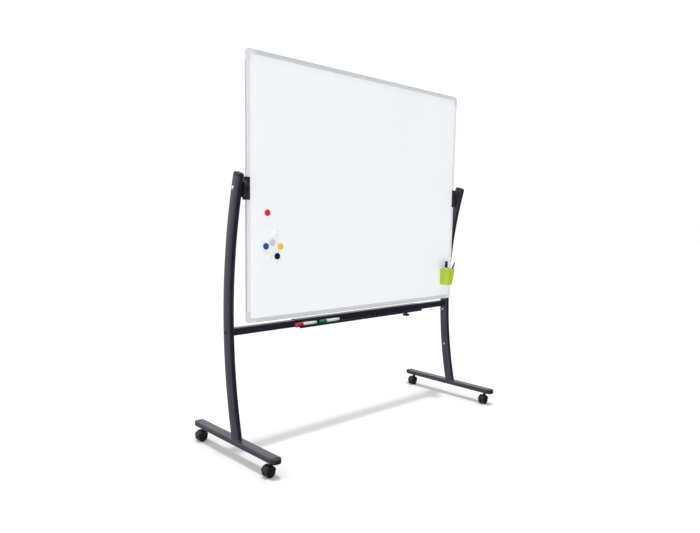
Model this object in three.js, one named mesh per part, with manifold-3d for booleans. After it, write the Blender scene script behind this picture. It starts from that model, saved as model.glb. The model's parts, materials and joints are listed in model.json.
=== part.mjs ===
// Rolling whiteboard: a double-sided revolving board held at mid-height between two bowed
// uprights, which stand on low rectangular feet with twin-wheel casters. A square crossbar joins
// the uprights and carries a sliding marker tray with a clamping knob.
// Millimetres, +X along the board, +Y to the rear, +Z up. The origin is on the floor, midway
// between the feet.

import * as THREE from 'three';
import { mergeVertices } from 'three/addons/utils/BufferGeometryUtils.js';
import Module from 'manifold-3d';

const wasm = await Module();
wasm.setup();

// ---------------------------------------------------------------- driving dimensions

const GAP = 0.3; // clearance between neighbouring pieces

const BOARD = { width: 1490, height: 1200, thickness: 10, z: 1221 };
const PIVOT = { y: -25.5, z: 1224 };
const FRAME = {
  face: 21, slotDepth: 15.3, slotHalf: 3.6, edgeRadius: 2, grooveFrom: 7.5, grooveTo: 9, grooveDepth: 0.5,
};
const PANEL = { inset: 6, cornerRadius: 10, core: 5, sheet: 0.5, coveredMargin: 16 };
const CORNER = { leg: 50, width: 21.4, outerRadius: 16, innerRadius: 4, halfThickness: 5.3 };
const CLIP = { height: 100, overlap: 17, web: 11, wall: 5.5, edgeRadius: 1.5 };
const DISC = { radius: 40, bevel: 1.5 };

const UPRIGHT = {
  x: 791, halfWidth: 18, halfDepth: 27.5, wall: 2.5, ovalExponent: 3,
  arcRadius: 2410, rearY: 45.5, rearZ: 640, topZ: 1278, floorPlate: 8,
};
const UPRIGHT_CAP = { plugDepth: 16, rim: 3, dome: 11 };
const FOOT = { length: 674, width: 50, height: 25, z: 79.5, cornerRadius: 5, wall: 2.2 };
const FOOT_CAP = { nose: 28, shoulder: 4, plugDepth: 15, plugClearance: 0.4, tipHeight: 0.62 };
const CROSSBAR = { size: 34, wall: 2, cornerRadius: 3, innerRadius: 1.5, z: 577, endPlate: 8 };

// Hexagon-socket bolts: shank, the hole it passes through, head and socket.
const PIVOT_BOLT = { shank: 4, hole: 4.4, head: 8.5, headHeight: 6, socket: 4 };
const CROSSBAR_BOLT = { shank: 3, hole: 3.4, head: 6.5, headHeight: 3.5, socket: 2.5, length: 44 };
const FOOT_BOLT = { shank: 4, hole: 4.4, head: 7, headHeight: 4, socket: 2.5 };

const TRAY = {
  x: 47, length: 926, wall: 2.2, clearance: 0.5, shelfFrontY: -4.5, shelfHeight: 8, lipHeight: 2,
  edgeRadius: 2, clampX: 426, clampSize: 22, clampHeight: 8, clampRadius: 3,
};
const KNOB = {
  radius: 19, height: 12, lobes: 8, lobeDepth: 1.1, stemRadius: 3, neckRadius: 6, neckHeight: 4, topZ: 542,
};

const CASTER = {
  y: 279, trail: 12, webHalf: 4, webFoot: 12, hoodInner: 26.4, hoodOuter: 29, hoodFrom: 12, hoodTo: 168,
  bossRadius: 8.5, bossBottomZ: 36, topZ: 64, axleRadius: 3.9,
};
const STEM = { radius: 5, depth: 14, socketDepth: 15, collarRadius: 8.5, collarHeight: 2.4 };
const WHEEL = { radius: 25, width: 14.5, dish: 3, treadBevel: 1.5 };

// Cup: outline [width, depth, front corner radius] at its top and bottom.
const CUP = {
  x: 673.5, z: 709, height: 96, top: [73, 62, 14], bottom: [62, 50, 12], backRadius: 4, wall: 2.2, floor: 3,
};

// Pens are [radius, height] profiles. Those in the cup run from one point towards another, and
// the markers in the tray lie along X with their caps at the given places.
const CUP_MARKER = {
  profile: [[0, 0], [6, 0], [8.2, 2], [8.2, 90], [8.6, 90.5], [8.6, 133], [7, 137], [0, 137]],
  from: [672, -44, 714],
  towards: [671, -52, 851],
};
const CUP_PEN = {
  profile: [[0, 0], [1.2, 0], [5, 12], [5, 136], [3.6, 140], [0, 140]],
  from: [662, -64, 715],
  towards: [714, -80, 841],
};
const MARKER = {
  profile: [[0, 0], [7, 0], [9, 2], [9, 46], [8.3, 46.5], [8.3, 131], [6.3, 134], [0, 134]],
  radius: 9, y: 12, redX: -432, greenX: -278,
};

// ---------------------------------------------------------------- materials

function finish(color, roughness, metalness) {
  return new THREE.MeshStandardMaterial({ color, roughness, metalness });
}

const powderCoat = finish(0x3c3c46, 0.55, 0.3);
const blackPlastic = finish(0x1f2024, 0.6, 0);
const wheelPlastic = finish(0x17181b, 0.5, 0);
const steel = finish(0xb9bcc2, 0.3, 1);
const aluminium = finish(0xc4c6cc, 0.35, 1);
const greyPlastic = finish(0xb4b6bb, 0.5, 0);
const enamel = finish(0xf3f5fb, 0.12, 0);
const coreBoard = finish(0xb09468, 0.85, 0);
const greenPlastic = finish(0xb4d22a, 0.35, 0);
const redPlastic = finish(0xc8283c, 0.35, 0);
const markerGreen = finish(0x137a5a, 0.35, 0);
const markerBlack = finish(0x101114, 0.35, 0);
const bluePlastic = finish(0x2a2a78, 0.35, 0);

// ---------------------------------------------------------------- geometry helpers

const AXIS_BASIS = {
  x: new THREE.Matrix4().makeBasis(
    new THREE.Vector3(0, 1, 0), new THREE.Vector3(0, 0, 1), new THREE.Vector3(1, 0, 0)),
  y: new THREE.Matrix4().makeBasis(
    new THREE.Vector3(1, 0, 0), new THREE.Vector3(0, 0, 1), new THREE.Vector3(0, -1, 0)),
  z: new THREE.Matrix4(),
};

/** Closed solid of an outline extruded along one axis and centred on it. The outline's two
 *  coordinates are the remaining axes in X, Y, Z order. */
function prism(outline, length, axis, holes = []) {
  const shape = new THREE.Shape(outline);
  shape.holes = holes.map((hole) => new THREE.Path(hole));
  const geometry = new THREE.ExtrudeGeometry(shape, { depth: length, bevelEnabled: false });
  return geometry.translate(0, 0, -length / 2).applyMatrix4(AXIS_BASIS[axis]);
}

function box(lengthX, lengthY, lengthZ, x, y, z) {
  return new THREE.BoxGeometry(lengthX, lengthY, lengthZ).translate(x, y, z);
}

function cylinder(radius, length, axis, segments = 16) {
  const geometry = new THREE.CylinderGeometry(radius, radius, length, segments);
  if (axis === 'x') geometry.rotateZ(Math.PI / 2);
  if (axis === 'z') geometry.rotateX(Math.PI / 2);
  return geometry;
}

/** Solid of revolution about Y from [radius, height] pairs. */
function lathe(profile, segments) {
  return new THREE.LatheGeometry(profile.map(([r, h]) => new THREE.Vector2(r, h)), segments);
}

/** Rounded rectangle; radii run from the (+,+) corner anticlockwise. */
function roundedRectangle(width, height, radii, steps = 4) {
  const signs = [[1, 1], [-1, 1], [-1, -1], [1, -1]];
  return signs.flatMap(([sx, sy], corner) => {
    const r = Array.isArray(radii) ? radii[corner] : radii;
    return arc(sx * (width / 2 - r), sy * (height / 2 - r), r, corner * 90, corner * 90 + 90, steps);
  });
}

function arc(cx, cy, radius, fromDegrees, toDegrees, steps) {
  return Array.from({ length: steps + 1 }, (_, i) => {
    const angle = THREE.MathUtils.degToRad(fromDegrees + ((toDegrees - fromDegrees) * i) / steps);
    return new THREE.Vector2(cx + radius * Math.cos(angle), cy + radius * Math.sin(angle));
  });
}

/** Oval whose sides are flatter than an ellipse's for an exponent above 2. */
function oval(halfWidth, halfDepth, exponent, count = 20) {
  return Array.from({ length: count }, (_, i) => {
    const angle = (2 * Math.PI * i) / count;
    const bend = (v) => Math.sign(v) * Math.abs(v) ** (2 / exponent);
    return new THREE.Vector2(halfWidth * bend(Math.cos(angle)), halfDepth * bend(Math.sin(angle)));
  });
}

/** Closed solid through rings of equal point count, each anticlockwise about the direction of
 *  travel from the first ring to the last. */
function loft(rings) {
  const count = rings[0].length;
  const points = rings.flat();
  const centreOf = (ring) => ring.reduce((sum, p) => sum.add(p), new THREE.Vector3()).divideScalar(count);
  const first = points.push(centreOf(rings[0])) - 1;
  const last = points.push(centreOf(rings.at(-1))) - 1;
  const indices = [];
  for (let j = 0; j < count; j++) {
    const k = (j + 1) % count;
    for (let i = 0; i < rings.length - 1; i++) {
      const [a, b, c, d] = [i * count + j, i * count + k, (i + 1) * count + k, (i + 1) * count + j];
      indices.push(a, b, c, a, c, d);
    }
    const end = (rings.length - 1) * count;
    indices.push(first, k, j, last, end + j, end + k);
  }
  const geometry = new THREE.BufferGeometry().setFromPoints(points);
  geometry.setIndex(indices);
  return geometry;
}

/** three.js geometry to a manifold solid. */
function solid(geometry) {
  const bare = geometry.clone();
  bare.deleteAttribute('normal');
  bare.deleteAttribute('uv');
  const merged = mergeVertices(bare);
  return new wasm.Manifold(new wasm.Mesh({
    numProp: 3,
    vertProperties: new Float32Array(merged.attributes.position.array),
    triVerts: new Uint32Array(merged.index.array),
  }));
}

/** Joins and cuts geometries: everything in added, less everything in removed. */
function combine(added, removed = []) {
  let result = solid(added[0]);
  for (const geometry of added.slice(1)) result = result.add(solid(geometry));
  for (const geometry of removed) result = result.subtract(solid(geometry));
  const mesh = result.getMesh();
  const geometry = new THREE.BufferGeometry();
  geometry.setAttribute('position', new THREE.BufferAttribute(new Float32Array(mesh.vertProperties), 3));
  geometry.setIndex(new THREE.BufferAttribute(new Uint32Array(mesh.triVerts), 1));
  return geometry;
}

// ---------------------------------------------------------------- scene graph

const whiteboard = new THREE.Group();

function add(name, geometry, material, parent = whiteboard) {
  geometry.computeVertexNormals();
  const mesh = new THREE.Mesh(geometry, material);
  mesh.name = name;
  parent.add(mesh);
  return mesh;
}

const SIDES = [['left', -1], ['right', 1]];
const ENDS = [['front', -1], ['rear', 1]];

// ---------------------------------------------------------------- uprights

/** Point and directions of the bowed centre line at an angle about the arc's centre. */
function uprightStation(angle) {
  const { arcRadius, rearY, rearZ } = UPRIGHT;
  const outward = new THREE.Vector3(0, Math.cos(angle), Math.sin(angle));
  return {
    centre: new THREE.Vector3(0, rearY - arcRadius, rearZ).addScaledVector(outward, arcRadius),
    outward,
    along: new THREE.Vector3(0, -Math.sin(angle), Math.cos(angle)),
  };
}

function uprightAngle(z) {
  return Math.asin((z - UPRIGHT.rearZ) / UPRIGHT.arcRadius);
}

/** Y of the upright's centre line at a height. */
function uprightY(z) {
  return uprightStation(uprightAngle(z)).centre.y;
}

/** The tube's oval outline, drawn in all round by a distance. */
function uprightSection(shrink = 0) {
  const { halfWidth, halfDepth, ovalExponent } = UPRIGHT;
  return oval(halfWidth - shrink, halfDepth - shrink, ovalExponent);
}

/** A section's outline placed square to the centre line, at a distance beyond a station. */
function sectionAt(section, station, distance = 0) {
  return section.map((p) => station.centre.clone()
    .addScaledVector(station.along, distance)
    .addScaledVector(station.outward, p.y)
    .add(new THREE.Vector3(p.x, 0, 0)));
}

function sweepUpright(section, fromZ, toZ, steps) {
  const [start, end] = [uprightAngle(fromZ), uprightAngle(toZ)];
  return loft(Array.from({ length: steps + 1 }, (_, i) =>
    sectionAt(section, uprightStation(start + ((end - start) * i) / steps))));
}

const footTopZ = FOOT.z + FOOT.height / 2;
const uprightBaseZ = footTopZ + GAP;
const uprightBaseY = uprightY(uprightBaseZ);
const crossbarY = uprightY(CROSSBAR.z);
const pivotShank = UPRIGHT.x + UPRIGHT.halfWidth - BOARD.width / 2 - 1; // stops short of the frame

function uprightGeometry() {
  const { wall, topZ, floorPlate } = UPRIGHT;
  const spare = 30;
  const block = 2 * UPRIGHT.halfDepth + 2 * spare;
  const below = (z) => box(block, block, block, 0, uprightBaseY, z - block / 2);
  const outer = sweepUpright(uprightSection(), uprightBaseZ - spare, topZ, 12);
  const bore = sweepUpright(uprightSection(wall), uprightBaseZ - spare, topZ + spare, 12);
  const cavity = combine([bore], [below(uprightBaseZ + floorPlate)]);
  const boltHole = (bolt, y, z) => cylinder(bolt.hole, block, 'x', 12).translate(0, y, z);
  return combine([outer], [
    below(uprightBaseZ),
    cavity,
    boltHole(PIVOT_BOLT, PIVOT.y, PIVOT.z),
    boltHole(CROSSBAR_BOLT, crossbarY, CROSSBAR.z),
    cylinder(FOOT_BOLT.hole, 2 * spare, 'z', 12).translate(0, uprightBaseY, uprightBaseZ),
  ]);
}

/** Domed plastic cap with a plug that sits inside the tube. */
function uprightCapGeometry() {
  const { plugDepth, rim, dome } = UPRIGHT_CAP;
  const station = uprightStation(uprightAngle(UPRIGHT.topZ));
  const ring = (shrink, distance) => sectionAt(uprightSection(shrink), station, distance);
  const plug = UPRIGHT.wall + 1;
  const curved = [20, 40, 60, 78].map((degrees) => {
    const angle = THREE.MathUtils.degToRad(degrees);
    return ring(dome * (1 - Math.cos(angle)), GAP + rim + dome * Math.sin(angle));
  });
  return loft([ring(plug, -plugDepth), ring(plug, GAP), ring(0, GAP), ring(0, GAP + rim), ...curved]);
}

/** Bolt along +X with its head's underside at x = 0 and its shank running to -X. */
function boltGeometry({ shank, head, headHeight, socket }, length) {
  const rooted = 1; // the shank starts this far inside the head
  return combine(
    [
      cylinder(shank, length + rooted, 'x', 12).translate((rooted - length) / 2, 0, 0),
      cylinder(head, headHeight, 'x', 18).translate(headHeight / 2, 0, 0),
    ],
    [cylinder(socket, headHeight, 'x', 6).translate(headHeight, 0, 0)]);
}

for (const [side, sign] of SIDES) {
  add(`${side}_upright`, uprightGeometry(), powderCoat).position.x = sign * UPRIGHT.x;
  add(`${side}_upright_cap`, uprightCapGeometry(), blackPlastic).position.x = sign * UPRIGHT.x;

  const headX = UPRIGHT.x + UPRIGHT.halfWidth + GAP;
  const turn = sign > 0 ? 0 : Math.PI;
  const pivotBolt = add(`${side}_pivot_bolt`, boltGeometry(PIVOT_BOLT, pivotShank), steel);
  pivotBolt.position.set(sign * headX, PIVOT.y, PIVOT.z);
  pivotBolt.rotation.z = turn;
  const crossbarBolt = add(
    `${side}_crossbar_bolt`, boltGeometry(CROSSBAR_BOLT, CROSSBAR_BOLT.length), blackPlastic);
  crossbarBolt.position.set(sign * headX, crossbarY, CROSSBAR.z);
  crossbarBolt.rotation.z = turn;
  const footBolt = add(
    `${side}_foot_bolt`, boltGeometry(FOOT_BOLT, FOOT.height + UPRIGHT.floorPlate), steel);
  footBolt.position.set(sign * UPRIGHT.x, uprightBaseY, FOOT.z - FOOT.height / 2 - GAP);
  footBolt.rotation.y = Math.PI / 2;

  const discInner = BOARD.width / 2 + CLIP.web + 2 * GAP;
  const discOuter = UPRIGHT.x - UPRIGHT.halfWidth - GAP;
  const half = (discOuter - discInner) / 2;
  const disc = lathe([
    [PIVOT_BOLT.hole, -half],
    [DISC.radius - DISC.bevel, -half], [DISC.radius, DISC.bevel - half],
    [DISC.radius, half - DISC.bevel], [DISC.radius - DISC.bevel, half],
    [PIVOT_BOLT.hole, half], [PIVOT_BOLT.hole, -half],
  ], 30).rotateZ(-Math.PI / 2);
  add(`${side}_pivot_disc`, disc, blackPlastic)
    .position.set(sign * (discInner + half), PIVOT.y, PIVOT.z);
}

// ---------------------------------------------------------------- crossbar

function crossbarGeometry() {
  const { size, wall, cornerRadius, innerRadius, z, endPlate } = CROSSBAR;
  const inner = size - 2 * wall;
  const halfLength = UPRIGHT.x - UPRIGHT.halfWidth;
  const along = (outline, length) => prism(outline, length, 'x').translate(0, crossbarY, z);
  const copes = SIDES.map(([, sign]) =>
    sweepUpright(uprightSection(-GAP), z - 2 * size, z + 2 * size, 4).translate(sign * UPRIGHT.x, 0, 0));
  return combine(
    [along(roundedRectangle(size, size, cornerRadius, 3), 2 * halfLength + UPRIGHT.halfWidth)],
    [
      along(roundedRectangle(inner, inner, innerRadius, 2), 2 * (halfLength - endPlate)),
      cylinder(CROSSBAR_BOLT.hole, 2 * UPRIGHT.x, 'x', 16).translate(0, crossbarY, z),
      ...copes,
    ]);
}

add('crossbar', crossbarGeometry(), powderCoat);

// ---------------------------------------------------------------- feet

const footTubeHalf = FOOT.length / 2 - FOOT_CAP.nose;
const footUndersideZ = FOOT.z - FOOT.height / 2;

function footGeometry() {
  const { width, height, z, cornerRadius, wall } = FOOT;
  const inner = roundedRectangle(width - 2 * wall, height - 2 * wall, cornerRadius - wall);
  const socket = (y) => cylinder(STEM.radius + GAP, 3 * wall, 'z', 16).translate(0, y, footUndersideZ);
  return combine(
    [prism(roundedRectangle(width, height, cornerRadius), 2 * footTubeHalf, 'y').translate(0, 0, z)],
    [
      prism(inner, FOOT.length, 'y').translate(0, 0, z),
      socket(-CASTER.y),
      socket(CASTER.y),
      cylinder(FOOT_BOLT.hole, 2 * height, 'z', 16).translate(0, uprightBaseY, z),
    ]);
}

/** Plastic nose, rounded in plan, with a plug inside the tube; it points to +Y. */
function footCapGeometry() {
  const { width, height, z, cornerRadius, wall } = FOOT;
  const { nose, shoulder, plugDepth, plugClearance, tipHeight } = FOOT_CAP;
  const ring = (w, h, r, distance) => roundedRectangle(w, h, r)
    .map((p) => new THREE.Vector3(-p.x, footTubeHalf + distance, z + p.y));
  const plugLoss = 2 * (wall + plugClearance);
  const plug = (distance) => ring(width - plugLoss, height - plugLoss, cornerRadius - wall, distance);
  const curved = [0, 20, 38, 54, 68, 79].map((degrees) => {
    const angle = THREE.MathUtils.degToRad(degrees);
    const wide = width * Math.cos(angle);
    const tall = height * THREE.MathUtils.lerp(tipHeight, 1, Math.cos(angle));
    return ring(wide, tall, Math.min(cornerRadius, 0.43 * tall, 0.49 * wide),
      shoulder + (nose - shoulder) * Math.sin(angle));
  });
  return loft([plug(-plugDepth), plug(GAP), ring(width, height, cornerRadius, GAP), ...curved]);
}

for (const [side, sign] of SIDES) {
  add(`${side}_foot`, footGeometry(), powderCoat).position.x = sign * UPRIGHT.x;
  for (const [end, endSign] of ENDS) {
    const cap = add(`${side}_foot_${end}_cap`, footCapGeometry(), blackPlastic);
    cap.position.x = sign * UPRIGHT.x;
    cap.rotation.z = endSign > 0 ? 0 : Math.PI;
  }
}

// ---------------------------------------------------------------- casters

/** Swivel stem: pressed up into the foot, with a collar under it and a pin down into the boss. */
function stemGeometry() {
  const { radius, depth, collarRadius, collarHeight } = STEM;
  const bottom = CASTER.topZ - depth;
  const top = footTopZ - FOOT.wall - 1;
  return combine([
    cylinder(radius, top - bottom, 'z', 12).translate(0, 0, (top + bottom) / 2),
    cylinder(collarRadius, collarHeight, 'z').translate(0, 0, footUndersideZ - GAP - collarHeight / 2),
  ]);
}

/** Hood and web of a twin-wheel caster, trailing to -X from the stem at the origin. */
function housingGeometry() {
  const {
    trail, webHalf, webFoot, hoodInner, hoodOuter, hoodFrom, hoodTo, bossRadius, bossBottomZ, topZ,
    axleRadius,
  } = CASTER;
  const fullWidth = 2 * (webHalf + GAP + WHEEL.width);
  const atWheel = (geometry) => geometry.translate(-trail, 0, WHEEL.radius);
  const hood = atWheel(prism(
    [...arc(0, 0, hoodOuter, hoodFrom, hoodTo, 12), ...arc(0, 0, hoodInner, hoodTo, hoodFrom, 12)],
    fullWidth, 'y'));
  const web = atWheel(prism(
    [...arc(0, 0, hoodInner + 1, 30, 150, 8), ...arc(0, 0, webFoot, 180, 360, 6)], 2 * webHalf, 'y'));
  const boss = cylinder(bossRadius, topZ - bossBottomZ, 'z').translate(0, 0, (topZ + bossBottomZ) / 2);
  const wheelSpaces = [-1, 1].map((side) => atWheel(cylinder(hoodInner, fullWidth, 'y', 24))
    .translate(0, side * (webHalf + fullWidth / 2), 0));
  return combine(
    [combine([boss, hood], wheelSpaces), web],
    [
      cylinder(STEM.radius + GAP, 2 * STEM.socketDepth, 'z', 12).translate(0, 0, topZ),
      atWheel(cylinder(axleRadius + GAP, 2 * fullWidth, 'y', 12)),
    ]);
}

/** Wheel with its inner face at y = 0 and a dished outer face. */
function wheelGeometry() {
  const { radius: r, width: w, dish, treadBevel } = WHEEL;
  const bore = CASTER.axleRadius + GAP;
  return lathe([
    [bore, 0], [r - treadBevel, 0], [r, treadBevel], [r, w - dish], [r - 2, w - 0.5],
    [r - 5, w - 0.5], [r - 7, w - dish], [bore, w - dish], [bore, 0],
  ], 24);
}

for (const [side, sign] of SIDES) {
  for (const [end, endSign] of ENDS) {
    const corner = new THREE.Group();
    corner.position.set(sign * UPRIGHT.x, endSign * CASTER.y, 0);
    whiteboard.add(corner);
    const prefix = `${side}_${end}_caster`;
    add(`${prefix}_stem`, stemGeometry(), steel, corner);
    add(`${prefix}_housing`, housingGeometry(), blackPlastic, corner);
    const axleLength = 2 * (CASTER.webHalf + WHEEL.width - WHEEL.dish);
    add(`${prefix}_axle`, cylinder(CASTER.axleRadius, axleLength, 'y', 12), steel, corner)
      .position.set(-CASTER.trail, 0, WHEEL.radius);
    for (const [label, direction] of [['a', -1], ['b', 1]]) {
      const wheel = add(`${prefix}_wheel_${label}`, wheelGeometry(), wheelPlastic, corner);
      wheel.position.set(-CASTER.trail, direction * (CASTER.webHalf + GAP), WHEEL.radius);
      wheel.rotation.z = direction > 0 ? 0 : Math.PI;
    }
  }
}

// ---------------------------------------------------------------- board

const board = new THREE.Group();
board.position.set(0, PIVOT.y, BOARD.z);
whiteboard.add(board);

const boardHalfWidth = BOARD.width / 2;
const boardHalfHeight = BOARD.height / 2;
const sheetOffset = PANEL.core / 2 + GAP + PANEL.sheet / 2;

/** Outline of the panel, drawn in all round by a distance. */
function panelOutline(shrink = 0) {
  const [width, height] = [BOARD.width, BOARD.height].map((size) => size - 2 * (PANEL.inset + shrink));
  return roundedRectangle(width, height, PANEL.cornerRadius - shrink / 2);
}

/** Sheet whose writing surfaces are faces of their own inside the margin that the frame covers. */
function sheetGeometry() {
  const ring = (shrink, y) => panelOutline(shrink).map((p) => new THREE.Vector3(p.x, y, p.y));
  const half = PANEL.sheet / 2;
  const { coveredMargin } = PANEL;
  return loft([ring(coveredMargin, half), ring(0, half), ring(0, -half), ring(coveredMargin, -half)]);
}

add('board_core', prism(panelOutline(), PANEL.core, 'y'), coreBoard, board);
add('front_sheet', sheetGeometry(), enamel, board).position.y = -sheetOffset;
add('back_sheet', sheetGeometry(), enamel, board).position.y = sheetOffset;

/** Frame section: first coordinate inward from the outer edge, second across the thickness. A
 *  fine groove runs along each face, and the slot that grips the panel opens inward. */
function frameSection() {
  const half = BOARD.thickness / 2;
  const { face, slotDepth, slotHalf, edgeRadius: r, grooveFrom, grooveTo, grooveDepth } = FRAME;
  const side = (sign) => [
    [grooveFrom, half], [grooveFrom, half - grooveDepth], [grooveTo, half - grooveDepth], [grooveTo, half],
    [face, half], [face, slotHalf], [face - slotDepth, slotHalf],
  ].map(([u, v]) => new THREE.Vector2(u, sign * v));
  return [
    ...arc(r, half - r, r, 180, 90, 4),
    ...side(1),
    ...side(-1).reverse(),
    ...arc(r, r - half, r, 270, 180, 4),
  ];
}

/** Frame length along Z with its outer edge at x = 0, opening to +X. */
function frameProfile(cornerToCorner) {
  return prism(frameSection(), cornerToCorner - 2 * (CORNER.leg + GAP), 'z');
}

const uprightProfiles = [['frame_left', -1, 0], ['frame_right', 1, Math.PI]];
for (const [name, sign, turn] of uprightProfiles) {
  const profile = frameProfile(BOARD.height).rotateZ(turn);
  add(name, profile, aluminium, board).position.x = sign * boardHalfWidth;
}
for (const [name, sign] of [['frame_top', 1], ['frame_bottom', -1]]) {
  const profile = frameProfile(BOARD.width).rotateY((sign * Math.PI) / 2);
  add(name, profile, aluminium, board).position.z = sign * boardHalfHeight;
}

/** L-shaped corner, its outer corner at the origin and its legs along -X and -Z. */
function cornerGeometry() {
  const { leg, width, outerRadius, innerRadius, halfThickness } = CORNER;
  const outline = [
    ...arc(-outerRadius, -outerRadius, outerRadius, 0, 90, 6),
    new THREE.Vector2(-leg, 0),
    new THREE.Vector2(-leg, -width),
    ...arc(-width - innerRadius, -width - innerRadius, innerRadius, 90, 0, 3),
    new THREE.Vector2(-width, -leg),
    new THREE.Vector2(0, -leg),
  ];
  const span = 4 * leg;
  const centre = GAP - PANEL.inset - span / 2;
  const slot = prism(roundedRectangle(span, span, PANEL.cornerRadius + GAP), 2 * FRAME.slotHalf, 'y')
    .translate(centre, 0, centre);
  return combine([prism(outline, 2 * halfThickness, 'y')], [slot]);
}

const CORNERS = [['top_right', 1, 1], ['bottom_right', 1, -1], ['bottom_left', -1, -1], ['top_left', -1, 1]];
CORNERS.forEach(([place, x, z], quarterTurns) => {
  const corner = add(`corner_${place}`, cornerGeometry(), greyPlastic, board);
  corner.position.set(x * boardHalfWidth, 0, z * boardHalfHeight);
  corner.rotation.y = (quarterTurns * Math.PI) / 2;
});

/** C-shaped clip around the frame's edge, opening to -X, with a hole for the pivot bolt. */
function clipGeometry() {
  const { height, overlap, web, wall, edgeRadius } = CLIP;
  const slotHalf = BOARD.thickness / 2 + GAP;
  const outerHalf = slotHalf + wall;
  const outline = [
    new THREE.Vector2(-overlap, -outerHalf),
    ...arc(web - edgeRadius, edgeRadius - outerHalf, edgeRadius, 270, 360, 3),
    ...arc(web - edgeRadius, outerHalf - edgeRadius, edgeRadius, 0, 90, 3),
    new THREE.Vector2(-overlap, outerHalf),
    new THREE.Vector2(-overlap, slotHalf),
    new THREE.Vector2(GAP, slotHalf),
    new THREE.Vector2(GAP, -slotHalf),
    new THREE.Vector2(-overlap, -slotHalf),
  ];
  return combine([prism(outline, height, 'z')], [cylinder(PIVOT_BOLT.shank + GAP, 3 * overlap, 'x', 16)]);
}

for (const [side, sign] of SIDES) {
  const clip = add(`${side}_clip`, clipGeometry(), blackPlastic, board);
  clip.position.set(sign * boardHalfWidth, 0, PIVOT.z - BOARD.z);
  clip.rotation.z = sign > 0 ? 0 : Math.PI;
}

// ---------------------------------------------------------------- pen cup and pens

const cupBackY = PIVOT.y - sheetOffset - PANEL.sheet / 2 - GAP;

/** Outline of the cup at a share of its height, with a flat back and a rounded front. */
function cupRing(share, shrink, z) {
  const mix = (i) => THREE.MathUtils.lerp(CUP.bottom[i], CUP.top[i], share);
  const [width, depth, frontRadius] = [mix(0) - 2 * shrink, mix(1) - 2 * shrink, mix(2) - shrink];
  const backRadius = CUP.backRadius - shrink / 2;
  return roundedRectangle(width, depth, [backRadius, backRadius, frontRadius, frontRadius])
    .map((p) => new THREE.Vector3(CUP.x + p.x, cupBackY - mix(1) / 2 + p.y, z));
}

function cupGeometry() {
  const { z, height, wall, floor } = CUP;
  const beyond = 1.05;
  return combine(
    [loft([cupRing(0, 0, z), cupRing(1, 0, z + height)])],
    [loft([cupRing(floor / height, wall, z + floor), cupRing(beyond, wall, z + beyond * height)])]);
}

add('pen_cup', cupGeometry(), greenPlastic);

/** Stands a pen in the cup, its foot at one point and its axis towards another. */
function addCupPen(name, { profile, from, towards }, segments, material) {
  const pen = add(name, lathe(profile, segments), material);
  const direction = new THREE.Vector3(...towards).sub(new THREE.Vector3(...from)).normalize();
  pen.position.set(...from);
  pen.quaternion.setFromUnitVectors(new THREE.Vector3(0, 1, 0), direction);
}

addCupPen('black_marker', CUP_MARKER, 16, markerBlack);
addCupPen('blue_pen', CUP_PEN, 12, bluePlastic);

// ---------------------------------------------------------------- tray, clamp and knob

const sleeveHalf = CROSSBAR.size / 2 + TRAY.clearance;
const trayUndersideZ = CROSSBAR.z - sleeveHalf - TRAY.wall;
const shelfTopZ = trayUndersideZ + TRAY.shelfHeight;

/** Section in Y and Z: a sleeve around the crossbar and a raised shelf in front of it, whose
 *  front edge is a skirt with a low lip. */
function trayOutline() {
  const { wall, shelfFrontY: lip, lipHeight, edgeRadius: r } = TRAY;
  const outer = sleeveHalf + wall;
  const [rear, front] = [crossbarY + outer, crossbarY - outer];
  const [top, bottom] = [CROSSBAR.z + outer, trayUndersideZ];
  const underShelf = shelfTopZ - wall;
  return [
    ...arc(rear - r, bottom + r, r, -90, 0, 2),
    ...arc(rear - r, top - r, r, 0, 90, 2),
    ...arc(front + r, top - r, r, 90, 180, 2),
    new THREE.Vector2(front, shelfTopZ),
    new THREE.Vector2(lip + wall, shelfTopZ),
    ...arc(lip + wall / 2, shelfTopZ + lipHeight, wall / 2, 0, 180, 4),
    new THREE.Vector2(lip, bottom),
    new THREE.Vector2(lip + wall, bottom),
    new THREE.Vector2(lip + wall, underShelf),
    new THREE.Vector2(front, underShelf),
    new THREE.Vector2(front, bottom),
  ];
}

function trayGeometry() {
  const passage = roundedRectangle(2 * sleeveHalf, 2 * sleeveHalf, CROSSBAR.cornerRadius, 3)
    .map((p) => new THREE.Vector2(p.x + crossbarY, p.y + CROSSBAR.z)).reverse();
  const channel = prism(trayOutline(), TRAY.length, 'x', [passage]).translate(TRAY.x, 0, 0);
  const threadHole = cylinder(KNOB.stemRadius + GAP, 4 * TRAY.wall, 'z', 16)
    .translate(TRAY.clampX, crossbarY, trayUndersideZ + TRAY.wall / 2);
  return combine([channel], [threadHole]);
}

add('marker_tray', trayGeometry(), powderCoat);

const clampBlock = combine(
  [prism(roundedRectangle(TRAY.clampSize, TRAY.clampSize, TRAY.clampRadius, 3), TRAY.clampHeight, 'z')],
  [cylinder(KNOB.stemRadius + GAP, 2 * TRAY.clampHeight, 'z', 16)]);
add('tray_clamp_block', clampBlock, powderCoat)
  .position.set(TRAY.clampX, crossbarY, trayUndersideZ - GAP - TRAY.clampHeight / 2);

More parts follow.
